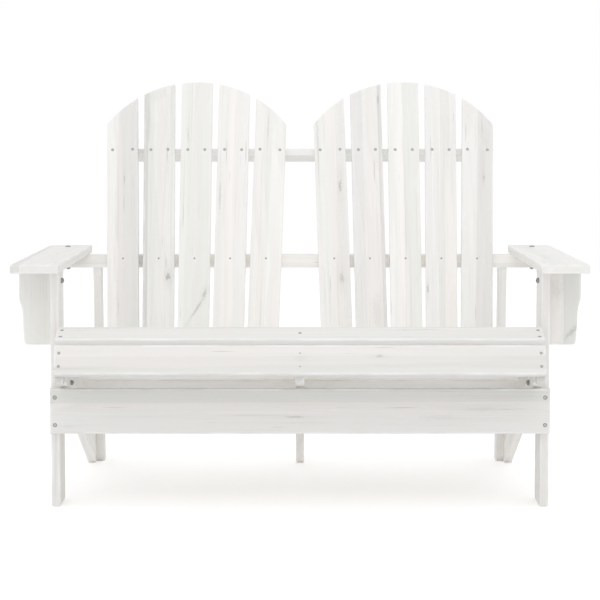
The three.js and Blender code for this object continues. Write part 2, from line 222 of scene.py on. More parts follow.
@functools.cache
def grain_group() -> NodeTree:
    """Builds the grain of a sawn board: growth rings, fibre, tone bands and glued staves.

    Returns:
        The node group, which reads a board's own coordinates.
    """
    w = Group("sawn grain", {"Vector": ("Place", "Stock"), "Float": ("Warp", "Ring Width", "Wander")},
              {"Float": ("Rings", "Growth", "Fibre", "Bands", "Stave", "Cool", "Streaks")})
    place, stock, ring_width = (w.given[name] for name in ("Place", "Stock", "Ring Width"))
    own = w.vector("ADD", place, w.scaled(stock, (31.0, 47.0, 59.0)))
    part, chance = w.parts(place), w.parts(stock)

    # Two glued joints run slightly across the board, and each stave between them has its own tone.
    lean = w.math("SUBTRACT", chance[0], 0.5)
    across = w.math("SUBTRACT", part[1], w.times(part[0], w.times(lean, 0.03)))
    joints = [w.math("MULTIPLY_ADD", chance[i], 0.05, low) for i, low in ((2, -0.036), (1, -0.002))]
    stave = w.math("ADD", *(w.math("GREATER_THAN", across, joint) for joint in joints))
    draws = w.vector("ADD", w.scaled(stock, (37.0, 91.0, 53.0)), w.joined(X=stave, Y=0.5))
    tones = w.parts(w.node("ShaderNodeTexWhiteNoise", {"Vector": draws}).outputs["Color"], "Color")

    # Growth rings round a pith that lies beside the board and wanders along it.
    shift = w.math("MULTIPLY_ADD", tones[2], 0.06, w.times(lean, 0.09))
    depth = w.math("MULTIPLY_ADD", tones[0], 0.07, 0.018)
    reach = w.distance(w.math("ADD", part[1], shift), w.math("ADD", part[2], depth))
    bend = w.math("SUBTRACT", w.noise(w.scaled(own, (0.45, 1.0, 1.0)), 5.0), 0.5)
    reach = w.math("MULTIPLY_ADD", bend, w.given["Wander"], reach)
    reach = w.math("ADD", reach, w.given["Warp"])
    turn = w.math("FRACT", w.math("DIVIDE", reach, ring_width))
    uneven = w.ramp(w.drawn_out(own, (1.2, 60.0, 60.0), 1), 0.35, 0.6)
    late = w.times(w.math("POWER", turn, 3.0), w.ramp(turn, 1.0, 0.9))
    broad = w.math("FRACT", w.math("DIVIDE", reach, w.times(ring_width, 3.7)))

    streaks = w.ramp(w.drawn_out(own, (2.6, 190.0, 190.0), 2, 0.6), 0.53, 0.7)
    patches = w.ramp(w.drawn_out(own, (3.2, 24.0, 24.0)), 0.44, 0.62)
    w.feed(w.end, {
        "Rings": w.times(late, uneven),
        "Growth": w.times(w.ramp(broad, 0.15, 0.9), w.ramp(broad, 1.0, 0.92)),
        "Fibre": w.drawn_out(own, (5.0, 330.0, 330.0), 3, 0.6),
        "Bands": w.drawn_out(own, (0.9, 36.0, 36.0), 2, 0.45),
        "Stave": tones[0],
        "Cool": tones[1],
        "Streaks": w.times(streaks, patches),
    })
    return w.tree


@functools.cache
def placed_knot_group() -> NodeTree:
    """Builds one knot, split or patch of painted shade whose place on the board is given.

    Returns:
        The node group, which reads coordinates in the knot's own radii.
    """
    w = Group("placed knot", {"Vector": ("Radii", "Place")}, {"Float": ("Knot", "Halo")})
    along, across, depth = w.parts(w.given["Radii"])
    ragged = w.math("SUBTRACT", w.noise(w.given["Place"], 230.0, 3), 0.5)
    for name, length, width, waves, full, gone in (
            ("Knot", 1.0, 1.0, 2.4, 0.3, 1.25), ("Halo", 0.3, 0.55, 1.6, 0.1, 1.5)):
        away = w.distance(w.times(along, length), w.times(across, width))
        mask = w.ramp(w.math("MULTIPLY_ADD", ragged, waves, away), full, gone, 1, 0)
        w.feed(w.end, {name: w.times(mask, depth)})
    return w.tree


@functools.cache
def knot_group() -> NodeTree:
    """Builds scattered knots beside the placed knots and patches of painted shade, and the hairline cracks
    that start at them.

    Returns:
        The node group, which reads a board's own coordinates.
    """
    w = Group("knots and cracks",
              {"Vector": ("Place", "Stock"), "Float": ("Share", "Size", "Placed Knot", "Placed Halo")},
              {"Float": ("Knot", "Halo", "Warp", "Crack")})
    own = w.vector("ADD", w.given["Place"], w.scaled(w.given["Stock"], (23.0, 17.0, 0.0)))
    per_metre = 9.0
    cells = w.node("ShaderNodeTexVoronoi", {"Vector": w.scaled(own, (0.36, 1.0, 0.0)), "Scale": per_metre},
                   voronoi_dimensions="2D").outputs
    chance = w.parts(cells["Color"], "Color")
    there = w.math("LESS_THAN", chance[0], w.given["Share"])
    size = w.times(w.given["Size"], w.math("MULTIPLY_ADD", chance[1], 0.9, 0.45))
    ragged = w.times(w.math("SUBTRACT", w.noise(own, 160.0), 0.5), 0.004)
    away = w.math("DIVIDE", w.math("ADD", w.times(cells["Distance"], 1 / per_metre), ragged), size)
    core, halo = (
        w.largest(w.times(there, w.ramp(away, full, gone, 1, 0)), w.given[f"Placed {name}"])
        for name, full, gone in (("Knot", 0.45, 1.0), ("Halo", 0.8, 4.2)))
    line = w.drawn_out(own, (7.0, 210.0, 0.0), 1)
    w.feed(w.end, {
        "Knot": core,
        "Halo": halo,
        "Warp": w.times(w.math("POWER", halo, 1.6), 0.008),
        "Crack": w.ramp(w.math("ADD", line, w.math("MULTIPLY_ADD", halo, 0.1, -0.02)), 0.7, 0.76),
    })
    return w.tree


@functools.cache
def wear_group() -> NodeTree:
    """Builds the thin, rubbed coat along a board's arrises.

    Returns:
        The node group, which reads how near the arris a point is.
    """
    w = Group("arris wear", {"Vector": ("Place",), "Float": ("Near", "Amount")}, {"Float": ("Worn",)})
    patches = w.ramp(w.drawn_out(w.given["Place"], (14.0, 60.0, 60.0), 3), 0.36, 0.66)
    rubbed = w.times(patches, w.ramp(w.given["Near"], 0.35, 1.0))
    w.feed(w.end, {"Worn": w.times(rubbed, w.given["Amount"])})
    return w.tree


def new_material(name: str) -> tuple[Material, Wiring, Node]:
    """Starts a material.

    Args:
        name: the material's name.

    Returns:
        The material, its wiring and its Principled shader.
    """
    made = bpy.data.materials.new(name)
    made.use_nodes = True
    return made, Wiring(made.node_tree), made.node_tree.nodes["Principled BSDF"]


@dataclass(frozen=True)
class WhitewashedFir:
    """Fir under a thin white wash, with staves, bands and small grey knots showing through."""

    wash: Colour = (0.972, 0.968, 0.948)
    dark_stave: Colour = (0.81, 0.80, 0.775)
    greyed: Colour = (0.6, 0.597, 0.585)
    cool_stave: Colour = (0.9, 0.903, 0.905)
    warm_band: Colour = (0.985, 0.945, 0.92)
    grey_band: Colour = (0.875, 0.89, 0.85)
    growth: Colour = (0.81, 0.785, 0.745)
    late_wood: Colour = (0.64, 0.62, 0.57)
    knot: Colour = (0.36, 0.355, 0.34)
    rubbed: Colour = (0.945, 0.948, 0.955)
    ring_width: float = 0.0042
    ring_wander: float = 0.05
    ring_strength: float = 0.13
    growth_strength: float = 0.34
    stave_strength: float = 0.9
    band_strength: float = 0.7
    streak_strength: float = 0.3
    grey_strength: float = 0.5
    fibre_strength: float = 0.1
    halo_strength: float = 0.16
    knot_strength: float = 0.62
    crack_strength: float = 0.4
    knot_share: float = 0.1
    knot_size: float = 0.0062
    wear: float = 0.6
    roughness: tuple[float, float] = (0.66, 0.8)
    ring_height: float = 0.35
    crack_depth: float = 1.2
    bump_strength: float = 0.35
    bump_distance: float = 0.0006

    @functools.cached_property
    def material(self) -> Material:
        """Builds the material when it is first asked for.

        Returns:
            The material, which reads the boards' own attributes.
        """
        made, w, shader = new_material("whitewashed fir")
        at = {"Place": w.attribute("timber")}
        board = at | {"Stock": w.attribute("stock")}
        # The placed marks are knots and splits, and on the seat rails' noses patches of painted shade.
        placed = [w.group(placed_knot_group(), at | {"Radii": w.attribute(f"knot_{i}")})
                  for i in range(PLACED_KNOTS)]
        knots = w.group(knot_group(), board | {
            "Share": self.knot_share, "Size": self.knot_size,
            "Placed Knot": w.largest(*(knot["Knot"] for knot in placed)),
            "Placed Halo": w.largest(*(knot["Halo"] for knot in placed))})
        grain = w.group(grain_group(), board | {
            "Warp": knots["Warp"], "Ring Width": self.ring_width, "Wander": self.ring_wander})
        wear = w.group(wear_group(), at | {"Near": w.attribute("arris", "Fac"), "Amount": self.wear})

        dark = w.times(w.ramp(grain["Stave"], 0.62, 0.1), self.stave_strength)
        cool = w.times(w.ramp(grain["Cool"], 0.5, 0.9), self.stave_strength)
        warm = w.times(w.ramp(grain["Bands"], 0.51, 0.58), self.band_strength)
        grey = w.times(w.attribute("grey", "Fac"), self.grey_strength)
        colour = self.wash
        for mask, above in (
                (dark, self.dark_stave),
                (cool, self.cool_stave),
                (w.times(warm, w.math("SUBTRACT", 1.0, cool)), self.warm_band),
                (w.times(w.ramp(grain["Bands"], 0.46, 0.36), self.band_strength), self.grey_band),
                (w.times(grey, w.math("MULTIPLY_ADD", dark, 1.3, 0.5)), self.greyed),
                (w.times(grain["Growth"], self.growth_strength), self.growth),
                (w.times(grain["Rings"], self.ring_strength), self.late_wood),
                (w.times(grain["Streaks"], self.streak_strength), self.late_wood),
                (w.times(w.ramp(grain["Fibre"], 0.42, 0.3), self.fibre_strength), self.late_wood),
                # These knot and halo masks also lay the painted shade on the seat rails' noses.
                (w.times(knots["Halo"], self.halo_strength), self.knot),
                (w.times(knots["Knot"], self.knot_strength), self.knot),
                (w.times(knots["Crack"], self.crack_strength), self.knot),
                (wear["Worn"], self.rubbed)):
            colour = w.tint(mask, colour, above)

        height = w.math("MULTIPLY_ADD", grain["Rings"], self.ring_height, grain["Fibre"])
        height = w.math("SUBTRACT", height, w.times(knots["Crack"], self.crack_depth))
        w.feed(shader, {
            "Base Color": colour,
            "Roughness": w.ramp(grain["Fibre"], 0.3, 0.7, *self.roughness),
            "Normal": w.node("ShaderNodeBump", {
                "Height": height, "Strength": self.bump_strength, "Distance": self.bump_distance}).outputs[0],
        })
        return made


@dataclass(frozen=True)
class ZincSteel:
    """Dull zinc-plated steel with fine wear."""

    name: str
    base: Colour
    worn: Colour
    roughness: float = 0.42
    metallic: float = 0.85
    patch_scale: float = 420.0
    pit_scale: float = 2600.0
    pit_strength: float = 0.2
    pit_distance: float = 0.0001

    @functools.cached_property
    def material(self) -> Material:
        """Builds the material when it is first asked for.

        Returns:
            The material, whose patches follow the object's own coordinates.
        """
        made, w, shader = new_material(self.name)
        place = w.node("ShaderNodeTexCoord").outputs["Object"]
        patches = w.noise(place, self.patch_scale, 3)
        w.feed(shader, {
            "Base Color": w.tint(w.ramp(patches, 0.4, 0.66), self.base, self.worn),
            "Metallic": self.metallic,
            "Roughness": w.ramp(patches, 0.3, 0.7, self.roughness - 0.08, self.roughness + 0.12),
            "Normal": w.node("ShaderNodeBump", {
                "Height": w.noise(place, self.pit_scale), "Strength": self.pit_strength,
                "Distance": self.pit_distance}).outputs[0],
        })
        return made


@dataclass(frozen=True)
class Knot:
    """One knot or split in a board's face, or a dark patch of painted shade, placed from the board's middle.
    """

    along: float
    across: float
    radius: float
    stretch: float = 1.5
    depth: float = 0.6
    tilt: float = 0

    def radii(self, local: np.ndarray) -> np.ndarray:
        """Gives a board's points in the knot's own frame.

        Args:
            local: the points in the board's coordinates.

        Returns:
            Each point's places along and across the knot, in its radii, and the knot's depth.
        """
        angle = math.radians(self.tilt)
        x, y = local[:, 0] - self.along, local[:, 1] - self.across
        along = (x * math.cos(angle) + y * math.sin(angle)) / (self.radius * self.stretch)
        across = (y * math.cos(angle) - x * math.sin(angle)) / self.radius
        return np.stack([along, across, np.full(len(local), self.depth)], 1)


@dataclass(frozen=True)
class Timber:
    """The look of one board's wood: how grey it is, its knots, splits and patches of painted shade, and its
    grain's seed.
    """

    grey: float = 0.25
    knots: tuple[Knot, ...] = ()
    stock: int = 0


PLACED_KNOTS = 3
FAR_OFF = Knot(9, 9, 0.01, depth=0)
TIMBER = {
    "back_slat_left_1": Timber(0.6, (
        Knot(0.17, -0.004, 0.002, 4.5), Knot(-0.15, 0.014, 0.002, 40, 0.25),
        Knot(0.06, 0.018, 0.0015, 40, 0.2)), stock=18),
    "back_slat_left_2": Timber(0.95, (
        Knot(-0.105, -0.023, 0.0065, depth=1), Knot(-0.066, -0.018, 0.003, 5, 0.35),
        Knot(0.31, 0.026, 0.003, 22, 0.3)), stock=28),
    "back_slat_left_3": Timber(0.1, (
        Knot(-0.186, -0.0095, 0.003, 10, tilt=-30), Knot(-0.15, -0.026, 0.005, 2, 0.7, -15),
        Knot(0.265, 0.021, 0.002, 12, 0.4)), stock=20),
    "back_slat_left_4": Timber(0.1, (Knot(0.105, 0.029, 0.003, 14, 0.4),), stock=16),
    "back_slat_left_5": Timber(0.14, (Knot(0.301, 0.0066, 0.0015, 25, 0.5),), stock=1),
    "back_slat_right_1": Timber(0.46, (
        Knot(0.151, -0.021, 0.004, 4, 0.8), Knot(0.272, 0.03, 0.004, 25, 0.3),
        Knot(-0.089, -0.017, 0.006, 2)), stock=13),
    "back_slat_right_2": Timber(0.78, (
        Knot(0.365, -0.031, 0.003, 5), Knot(-0.199, -0.013, 0.012, 4, 0.2),
        Knot(0.3, 0.014, 0.008, 14, 0.1)), stock=11),
    "back_slat_right_3": Timber(0, stock=20),
    "back_slat_right_4": Timber(0.1, (Knot(-0.136, 0.033, 0.0025, 5, 0.8),), stock=29),
    "back_slat_right_5": Timber(0.6, (Knot(0.173, -0.016, 0.003, 3),), stock=23),
    "front_apron": Timber(0.58, (Knot(0.169, 0.008, 0.003, 2.5), Knot(0, 0.003, 0.008, 1.5, 0.15)), stock=25),
    "seat_slat_1": Timber(0.85, (Knot(0.225, 0.016, 0.002, 6),), stock=13),
    "front_stretcher": Timber(1.2, (
        Knot(-0.011, -0.012, 0.0025, 8), Knot(0.307, -0.014, 0.006, 8, 0.15),
        Knot(0.393, 0.005, 0.005, 7, 0.2)), stock=22),
    "arm_bracket_left": Timber(0.18, stock=11),
    "arm_bracket_right": Timber(0.68, (
        Knot(-0.053, -0.016, 0.005, 4, tilt=-45), Knot(0.039, 0.019, 0.015, 1.5, 0.2)), stock=19),
    "arm_left": Timber(0.82, (Knot(0.126, 0.0435, 0.0015, 20, 0.12),), stock=23),
    "arm_right": Timber(0.4, (Knot(0.126, -0.0475, 0.0015, 20, 0.12),), stock=8),
    "arm_rail": Timber(0, stock=9),
    # The big dark patch at the nose of each seat rail is painted shade: the apron's shadow, drawn like a
    # placed knot.
    "seat_rail_left": Timber(0, (Knot(0.437, -0.052, 0.05, 1, 0.55),)),
    "seat_rail_centre": Timber(0, (Knot(0.437, 0.052, 0.04, 1, 0.45),), stock=10),
    "seat_rail_right": Timber(0.3, (Knot(0.437, 0.052, 0.05, 1, 0.55),)),
    "front_leg_left": Timber(0.85, stock=31),
    "front_leg_right": Timber(0.76),
    "back_rail_upper": Timber(0.2),
    "seat_slat_6": Timber(0, stock=52),
    "rear_post_left": Timber(0.46),
    "rear_post_right": Timber(0.4),
}

FIR = WhitewashedFir()
BOLT_STEEL = ZincSteel("dark zinc steel", (0.3, 0.3, 0.305), (0.43, 0.43, 0.435))
SCREW_STEEL = ZincSteel("grey zinc steel", (0.36, 0.36, 0.355), (0.47, 0.47, 0.46), 0.55)


def add_object(name: str, data: ID) -> Object:
    """Puts an object into the scene, at the origin.

    Args:
        name: the object's name.
        data: its mesh, light or camera.

    Returns:
        The object.
    """
    made = bpy.data.objects.new(name, data)
    bpy.context.scene.collection.objects.link(made)
    return made


def bake_modifiers(piece: Object) -> None:
    """Turns what an object's modifiers give into its plain mesh.

    Args:
        piece: the object, which loses its modifiers.
    """
    graph = bpy.context.evaluated_depsgraph_get()
    shown = piece.evaluated_get(graph)
    mesh = bpy.data.meshes.new_from_object(shown, preserve_all_data_layers=True, depsgraph=graph)
    piece.modifiers.clear()
    piece.data = mesh


def finish_piece(piece: Object, replaced: Sequence[str] = ()) -> None:
    """Fastens a piece to the frame and reports it.

    Args:
        piece: the finished object.
        replaced: the frame's nodes that it stands for.
    """
    if replaced:
        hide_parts(*replaced)
    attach(piece, BODY)
    log.info("%s: %d faces", piece.name, len(piece.data.polygons))


def store_attribute(mesh: Mesh, name: str, values: np.ndarray) -> None:
    """Stores an attribute on a mesh's points.

    Args:
        mesh: the mesh.
        name: the attribute's name.
        values: a number or a row of three for each point.
    """
    kind, part = ("FLOAT_VECTOR", "vector") if values.ndim > 1 else ("FLOAT", "value")
    store = mesh.attributes.new(name, kind, "POINT")
    store.data.foreach_set(part, values.astype(np.float32).ravel())


def skin(rings: Sequence[np.ndarray], closed: bool = False) -> Skin:
    """Joins rings of points into a closed skin.

    Args:
        rings: the rings, each one anticlockwise and with as many points, in order along the skin.
        closed: whether the last ring joins the first one, as round a bore, and no end is capped.

    Returns:
        The points and the faces.
    """
    count = len(rings[0])
    faces = [] if closed else [list(range(count))[::-1]]
    for i in range(len(rings) if closed else len(rings) - 1):
        a, b = i * count, (i + 1) % len(rings) * count
        faces += [[a + j, a + (j + 1) % count, b + (j + 1) % count, b + j] for j in range(count)]
    if not closed:
        faces.append([(len(rings) - 1) * count + j for j in range(count)])
    return np.concatenate(rings), faces


@dataclass(frozen=True)
class ScrewSeat:
    """One place where a screw head sits flush: a point on a board's face, its way and its size."""

    point: Vector
    axis: Vector
    size: float = 1


@dataclass
class Board:
    """One board, cut to the outline that its node of the frame has.

    Its face looks along `face`, and its outline is drawn square to `drawn`, which is the face
    unless the board is one long section.
    """

    node: str
    along: Vector
    face: Vector
    drawn: Vector | None = None
    eased: float = 0.0025
    rim: float = 0.004
    ease_steps: int = 4
    screws: list[ScrewSeat] = field(default_factory=list)
    seat_radius: float = 0.0042
    seat_flare: float = 0.0004
    seat_depth: float = 0.0009
    seat_sides: int = 20
    weld: float = 1e-6
    slack: float = 2e-5
    sharp_from: float = 35

    def __post_init__(self) -> None:
        """Reads the node's outline and its middle."""
        self.across = self.face.cross(self.along)
        self.drawn = self.drawn or self.face
        first = self.along if self.drawn == self.face else self.across
        self.plane = (first, self.drawn.cross(first))
        self.axes = np.array([self.along, self.across, self.face], float)
        co = np.array([v.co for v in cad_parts[self.node].data.vertices], float)
        local = co @ self.axes.T
        self.low, self.high = local.min(0), local.max(0)
        self.middle = Vector(tuple((self.low + self.high) / 2 @ self.axes))
        reach = co @ np.array(self.drawn, float)
        self.bottom, self.top = float(reach.min()), float(reach.max())
        self.outline = self._read_outline()

    def _read_outline(self) -> np.ndarray:
        """Walks round the ring where the node's wall meets its eased edge.

        Returns:
            The outline's corners, counter-clockwise as seen from the way it is drawn along.
        """
        bm = bmesh.new()
        bm.from_mesh(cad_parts[self.node].data)
        bmesh.ops.remove_doubles(bm, verts=bm.verts, dist=2 * self.weld)
        level = self.top - self.eased
        ring = {v for v in bm.verts if abs(v.co.dot(self.drawn) - level) < self.slack}
        flat = {v: (v.co.dot(self.plane[0]), v.co.dot(self.plane[1])) for v in ring}
        path = [min(ring, key=flat.get)]
        while ring:
            ring.discard(path[-1])
            following = [v for v in (e.other_vert(path[-1]) for e in path[-1].link_edges) if v in ring]
            if not following:
                break
            path.append(min(following, key=flat.get))
        corners = np.array([flat[v] for v in path])
        bm.free()
        x, y = corners.T
        turn = np.sum(x * np.roll(y, -1) - np.roll(x, -1) * y)
        return corners if turn > 0 else corners[::-1]

    def add_screw(self, point: Vector, size: float = 1) -> None:
        """Adds a screw on the board's face, in front of or behind a point."""
        seat = point + self.face * (self.high[2] - point.dot(self.face))
        self.screws.append(ScrewSeat(seat, self.face, size))

    def screw_from_middle(self, along: float, across: float, size: float = 1) -> None:
        """Adds a screw on the board's face at these distances from its middle."""
        self.add_screw(self.middle + self.along * along + self.across * across, size)

    def _inset(self, distance: float) -> np.ndarray:
        """Gives the outline moved inwards by a distance.

        Args:
            distance: how far; a curve too tight for it shrinks to a point.

        Returns:
            The moved corners, as many as the outline has.
        """
        edge = np.roll(self.outline, -1, 0) - self.outline
        inwards = np.stack([-edge[:, 1], edge[:, 0]], 1) / np.linalg.norm(edge, axis=1)[:, None]
        before = np.roll(inwards, 1, 0)
        mitre = (inwards + before) / (1 + np.sum(inwards * before, 1))[:, None]
        moved = self.outline + mitre * distance
        count = len(moved)
        lost = np.zeros(count, bool)
        while (turned := np.sum((np.roll(moved, -1, 0) - moved) * edge, 1) < 0).any():
            lost |= turned
            for start in np.flatnonzero(lost & ~np.roll(lost, 1)):
                end = start + 1
                while lost[end % count]:
                    end += 1
                before, after = edge[start - 1], edge[end % count]
                gap = moved[end % count] - moved[start]
                share = ((gap[0] * after[1] - gap[1] * after[0])
                         / (before[0] * after[1] - before[1] * after[0]))
                moved[np.arange(start, end + 1) % count] = moved[start] + before * share
        return moved

    def _rings(self) -> list[tuple[float, float]]:
        """Lists the board's rings from its back to its face.

        Returns:
            How far each ring lies inside the outline, and its height along the drawn direction.
        """
        half = [(self.eased + self.rim, 0.0)]
        for i in range(self.ease_steps + 1):
            angle = math.pi / 2 * i / self.ease_steps
            half.append((self.eased * (1 - math.sin(angle)), self.eased * (1 - math.cos(angle))))
        if self.top - self.bottom > 2 * (self.eased + self.rim):
            half.append((0.0, self.eased + self.rim))
        back = [(inset, self.bottom + height) for inset, height in half]
        return back + [(inset, self.top - height) for inset, height in reversed(half)]

    def _mesh(self) -> Mesh:
        """Builds the board without its screw seats.

        Returns:
            The closed mesh.
        """
        plane, drawn = np.array(self.plane, float), np.array(self.drawn, float)
        points, faces = skin([self._inset(inset) @ plane + height * drawn for inset, height in self._rings()])
        mesh = bpy.data.meshes.new(self.node)
        mesh.from_pydata(points.tolist(), [], faces)
        bm = bmesh.new()
        bm.from_mesh(mesh)
        bmesh.ops.remove_doubles(bm, verts=bm.verts, dist=self.weld)
        bm.to_mesh(mesh)
        bm.free()
        return mesh

    def _cut_seats(self, piece: Object) -> None:
        """Sinks a seat for each screw head.

        Args:
            piece: the board's object.
        """
        bm = bmesh.new()
        for seat in self.screws:
            turn = seat.axis.to_track_quat("Z", "Y").to_matrix().to_4x4()
            turn.translation = seat.point
            radius = self.seat_radius * seat.size
            bmesh.ops.create_cone(
                bm, cap_ends=True, segments=self.seat_sides, matrix=turn, depth=2 * self.seat_depth,
                radius1=radius - self.seat_flare, radius2=radius + self.seat_flare)
        mesh = bpy.data.meshes.new("screw seats")
        bm.to_mesh(mesh)
        bm.free()
        cutter = add_object("screw seats", mesh)
        cut = piece.modifiers.new("screw seats", "BOOLEAN")
        cut.operation, cut.solver, cut.object = "DIFFERENCE", "EXACT", cutter
        bake_modifiers(piece)
        bpy.data.objects.remove(cutter)

    def _write_attributes(self, mesh: Mesh) -> None:
        """Stores what the finish reads: the board's own coordinates, its chances and its arrises.

        Args:
            mesh: the board's final mesh.
        """
        co = np.array([v.co for v in mesh.vertices], float)
        local = (co - np.array(self.middle)) @ self.axes.T
        timber = TIMBER.get(self.node, Timber())
        draw = random.Random(f"{self.node} {timber.stock}")
        chances = [draw.random() for _ in range(3)]
        flat = co @ np.array(self.plane, float).T
        start, end = self.outline, np.roll(self.outline, -1, 0)
        edge = end - start
        share = np.einsum("ijk,jk->ij", flat[:, None] - start, edge) / np.sum(edge * edge, 1)
        foot = start + np.clip(share, 0, 1)[..., None] * edge
        inside = np.linalg.norm(flat[:, None] - foot, axis=2).min(1)
        height = co @ np.array(self.drawn, float)
        under = np.minimum(height - self.bottom, self.top - height)
        near = 1 - np.clip((np.maximum(inside, under) - self.eased) / self.rim, 0, 1)
        knots = [*timber.knots, *[FAR_OFF] * PLACED_KNOTS][:PLACED_KNOTS]
        layers = {"timber": local, "stock": np.tile(chances, (len(co), 1)), "arris": near,
                  "grey": np.full(len(co), timber.grey)}
        layers |= {f"knot_{i}": knot.radii(local) for i, knot in enumerate(knots)}
        for name, values in layers.items():
            store_attribute(mesh, name, values)

    def build(self) -> None:
        """Makes the board and puts it in its node's place."""
        piece = add_object(f"{self.node}_board", self._mesh())
        if self.screws:
            self._cut_seats(piece)
        piece.data.shade_smooth()
        piece.data.set_sharp_from_angle(angle=math.radians(self.sharp_from))
        piece.modifiers.new("flat faces", "WEIGHTED_NORMAL").keep_sharp = True
        bake_modifiers(piece)
        self._write_attributes(piece.data)
        piece.data.materials.clear()
        piece.data.materials.append(FIR.material)
        finish_piece(piece, [self.node])


@dataclass
class SeatFrame:
    """The seat rails, front legs, rear posts and front stretcher that carry everything."""

    rail_slope: float = 23
    post_lean: float = 5
    edge: float = 0.001
    leg_screw_inset: float = 0.0107
    stretcher_screw_inset: float = 0.019
    broad: float = 1.18
    post_screw_heights: tuple[float, float] = (0.028, 0.066)

    def build(self) -> list[Board]:
        """Makes the boards of the frame.

        Returns:
            The boards that hold screws.
        """
        up_rail = -rising(-self.rail_slope)
        Board("seat_rail_centre", up_rail, RIGHT, eased=self.edge).build()
        up_post = rising(90 + self.post_lean)
        rails = []
        for side in Side:
            Board(f"front_leg_{side.label}", UP, RIGHT * side.value).build()
            post = Board(f"rear_post_{side.label}", up_post, RIGHT * side.value, eased=self.edge)
            rail = Board(f"seat_rail_{side.label}", up_rail, RIGHT * side.value, eased=self.edge)
            for height in self.post_screw_heights:
                rail.add_screw(post.middle + up_post * ((height - post.middle.z) / up_post.z))
            post.build()
            rail.build()
            rails.append(rail)
        stretcher = Board("front_stretcher", RIGHT, -REAR)
        along = stretcher.high[0] - self.leg_screw_inset
        across = stretcher.high[1] - self.stretcher_screw_inset - stretcher.middle.dot(stretcher.across)
        for side in Side:
            for level in Side:
                stretcher.screw_from_middle(side.value * along, level.value * across, self.broad)
        stretcher.build()
        return [stretcher, *rails]


@dataclass
class Seat:
    """The apron on the nose of the rails and the eight slats of the seat."""

    rail_slope: float = 23
    nose_slope: float = 18
    slats: int = 8
    outer_screw: float = 0.5102
    apron_screws: tuple[float, float] = (-0.0147, 0.0146)
    nose_screws: tuple[float, float] = (-0.019, 0.015)
    slat_screws: tuple[float, float] = (-0.014, 0.014)
    apron_size: float = 0.8
    filled_size: float = 0.4

    def build(self) -> list[Board]:
        """Makes the apron and the slats.

        Returns:
            The boards, which all hold screws.
        """
        boards = [Board("front_apron", RIGHT, -rising(-self.rail_slope))]
        nose, level = rising(self.nose_slope + 90), rising(90 - self.rail_slope)
        boards += [Board(f"seat_slat_{i + 1}", RIGHT, level if i else nose) for i in range(self.slats)]
        pairs = [self.apron_screws, self.nose_screws] + [self.slat_screws] * (self.slats - 1)
        for board, offsets in zip(boards, pairs):
            middle, outer_size, middle_size = (0.0,), 1, 1
            if board is boards[0]:
                middle, outer_size, middle_size = offsets, self.apron_size, self.filled_size
            for offset in offsets:
                for side in Side:
                    board.screw_from_middle(side.value * self.outer_screw, offset, outer_size)
            for offset in middle:
                board.screw_from_middle(0.0, offset, middle_size)
            board.build()
        return boards


@dataclass
class Backs:
    """The two fans of back slats and the rails behind them."""

    recline: float = 24
    slats_per_fan: int = 5
    spread_per_slat: float = 0.0149
    upper_screws: float = 0.2794
    arm_rail_screws: float = -0.0066
    outer_pair: float = 0.0245
    inner_pair: float = 0.021
    lower_pair: float = 0.02
    upper_size: float = 0.9
    arm_rail_size: float = 0.6

    def build(self) -> list[Board]:
        """Makes the slats and their rails.

        Returns:
            The slats, which hold the screws.
        """
        out = rising(180 - self.recline)
        Board("back_rail_upper", RIGHT, out).build()
        Board("back_rail_lower", RIGHT, out).build()
        slats = [self._slat(f"back_slat_{side.label}_{i + 1}", i - (self.slats_per_fan - 1) / 2, out)
                 for side in Side for i in range(self.slats_per_fan)]
        for slat in slats:
            slat.build()
        return slats

    def _slat(self, node: str, step: float, out: Vector) -> Board:
        """Lays out one back slat and its screws.

        Args:
            node: the slat's node in the frame.
            step: its place in the fan, counted from the middle one.
            out: the way its face looks.

        Returns:
            The slat.
        """
        tilt = step * math.atan(self.spread_per_slat)
        up = rising(90 - self.recline)
        slat = Board(node, RIGHT * math.sin(tilt) + up * math.cos(tilt), out)
        outermost = abs(step) == (self.slats_per_fan - 1) / 2
        pair = self.outer_pair if outermost else self.inner_pair
        arm_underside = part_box("arm_left")[0].z
        lower = (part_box("back_rail_lower")[0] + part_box("back_rail_lower")[1]) / 2
        half_lean = slat.face.z * (slat.high[2] - slat.low[2]) / 2
        rows = (
            (arm_underside + self.upper_screws * up.z - half_lean, (-pair, pair), self.upper_size),
            (arm_underside + self.arm_rail_screws * up.z - half_lean, (0.0,), self.arm_rail_size),
            (lower.z, (-self.lower_pair, self.lower_pair), self.upper_size),
        )
        for height, offsets, size in rows:
            on_line = slat.middle + slat.along * ((height - slat.middle.z) / slat.along.z)
            for offset in offsets:
                slat.add_screw(on_line + slat.across * offset, size)
        return slat


@dataclass
class Arms:
    """The flat arms, the brackets under them and the rail behind the backs that carries them."""

    rail_rim: float = 0.0015
    leg_screws: tuple[float, float] = (0.028, 0.07)
    bracket_screw: float = 0.045

    def build(self) -> list[Board]:
        """Makes the arms, their brackets and the arm rail.

        Returns:
            The boards that hold screws.
        """
        rail = Board("arm_rail", RIGHT, UP, drawn=RIGHT, rim=self.rail_rim)
        boards = [rail]
        for side in Side:
            low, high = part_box(f"rear_post_{side.label}")
            rail.add_screw(Vector(((low.x + high.x) / 2, rail.middle.y, 0)))
            arm = Board(f"arm_{side.label}", REAR, UP)
            low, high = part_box(f"front_leg_{side.label}")
            for depth in self.leg_screws:
                arm.add_screw(Vector(((low.x + high.x) / 2, low.y + depth, 0)))
            outer = high.x if side is Side.RIGHT else low.x
            arm.add_screw(Vector((outer + side.value * self.bracket_screw, (low.y + high.y) / 2, 0)))
            boards.append(arm)
            Board(f"arm_bracket_{side.label}", UP, -REAR).build()
        for board in boards:
            board.build()
        return boards


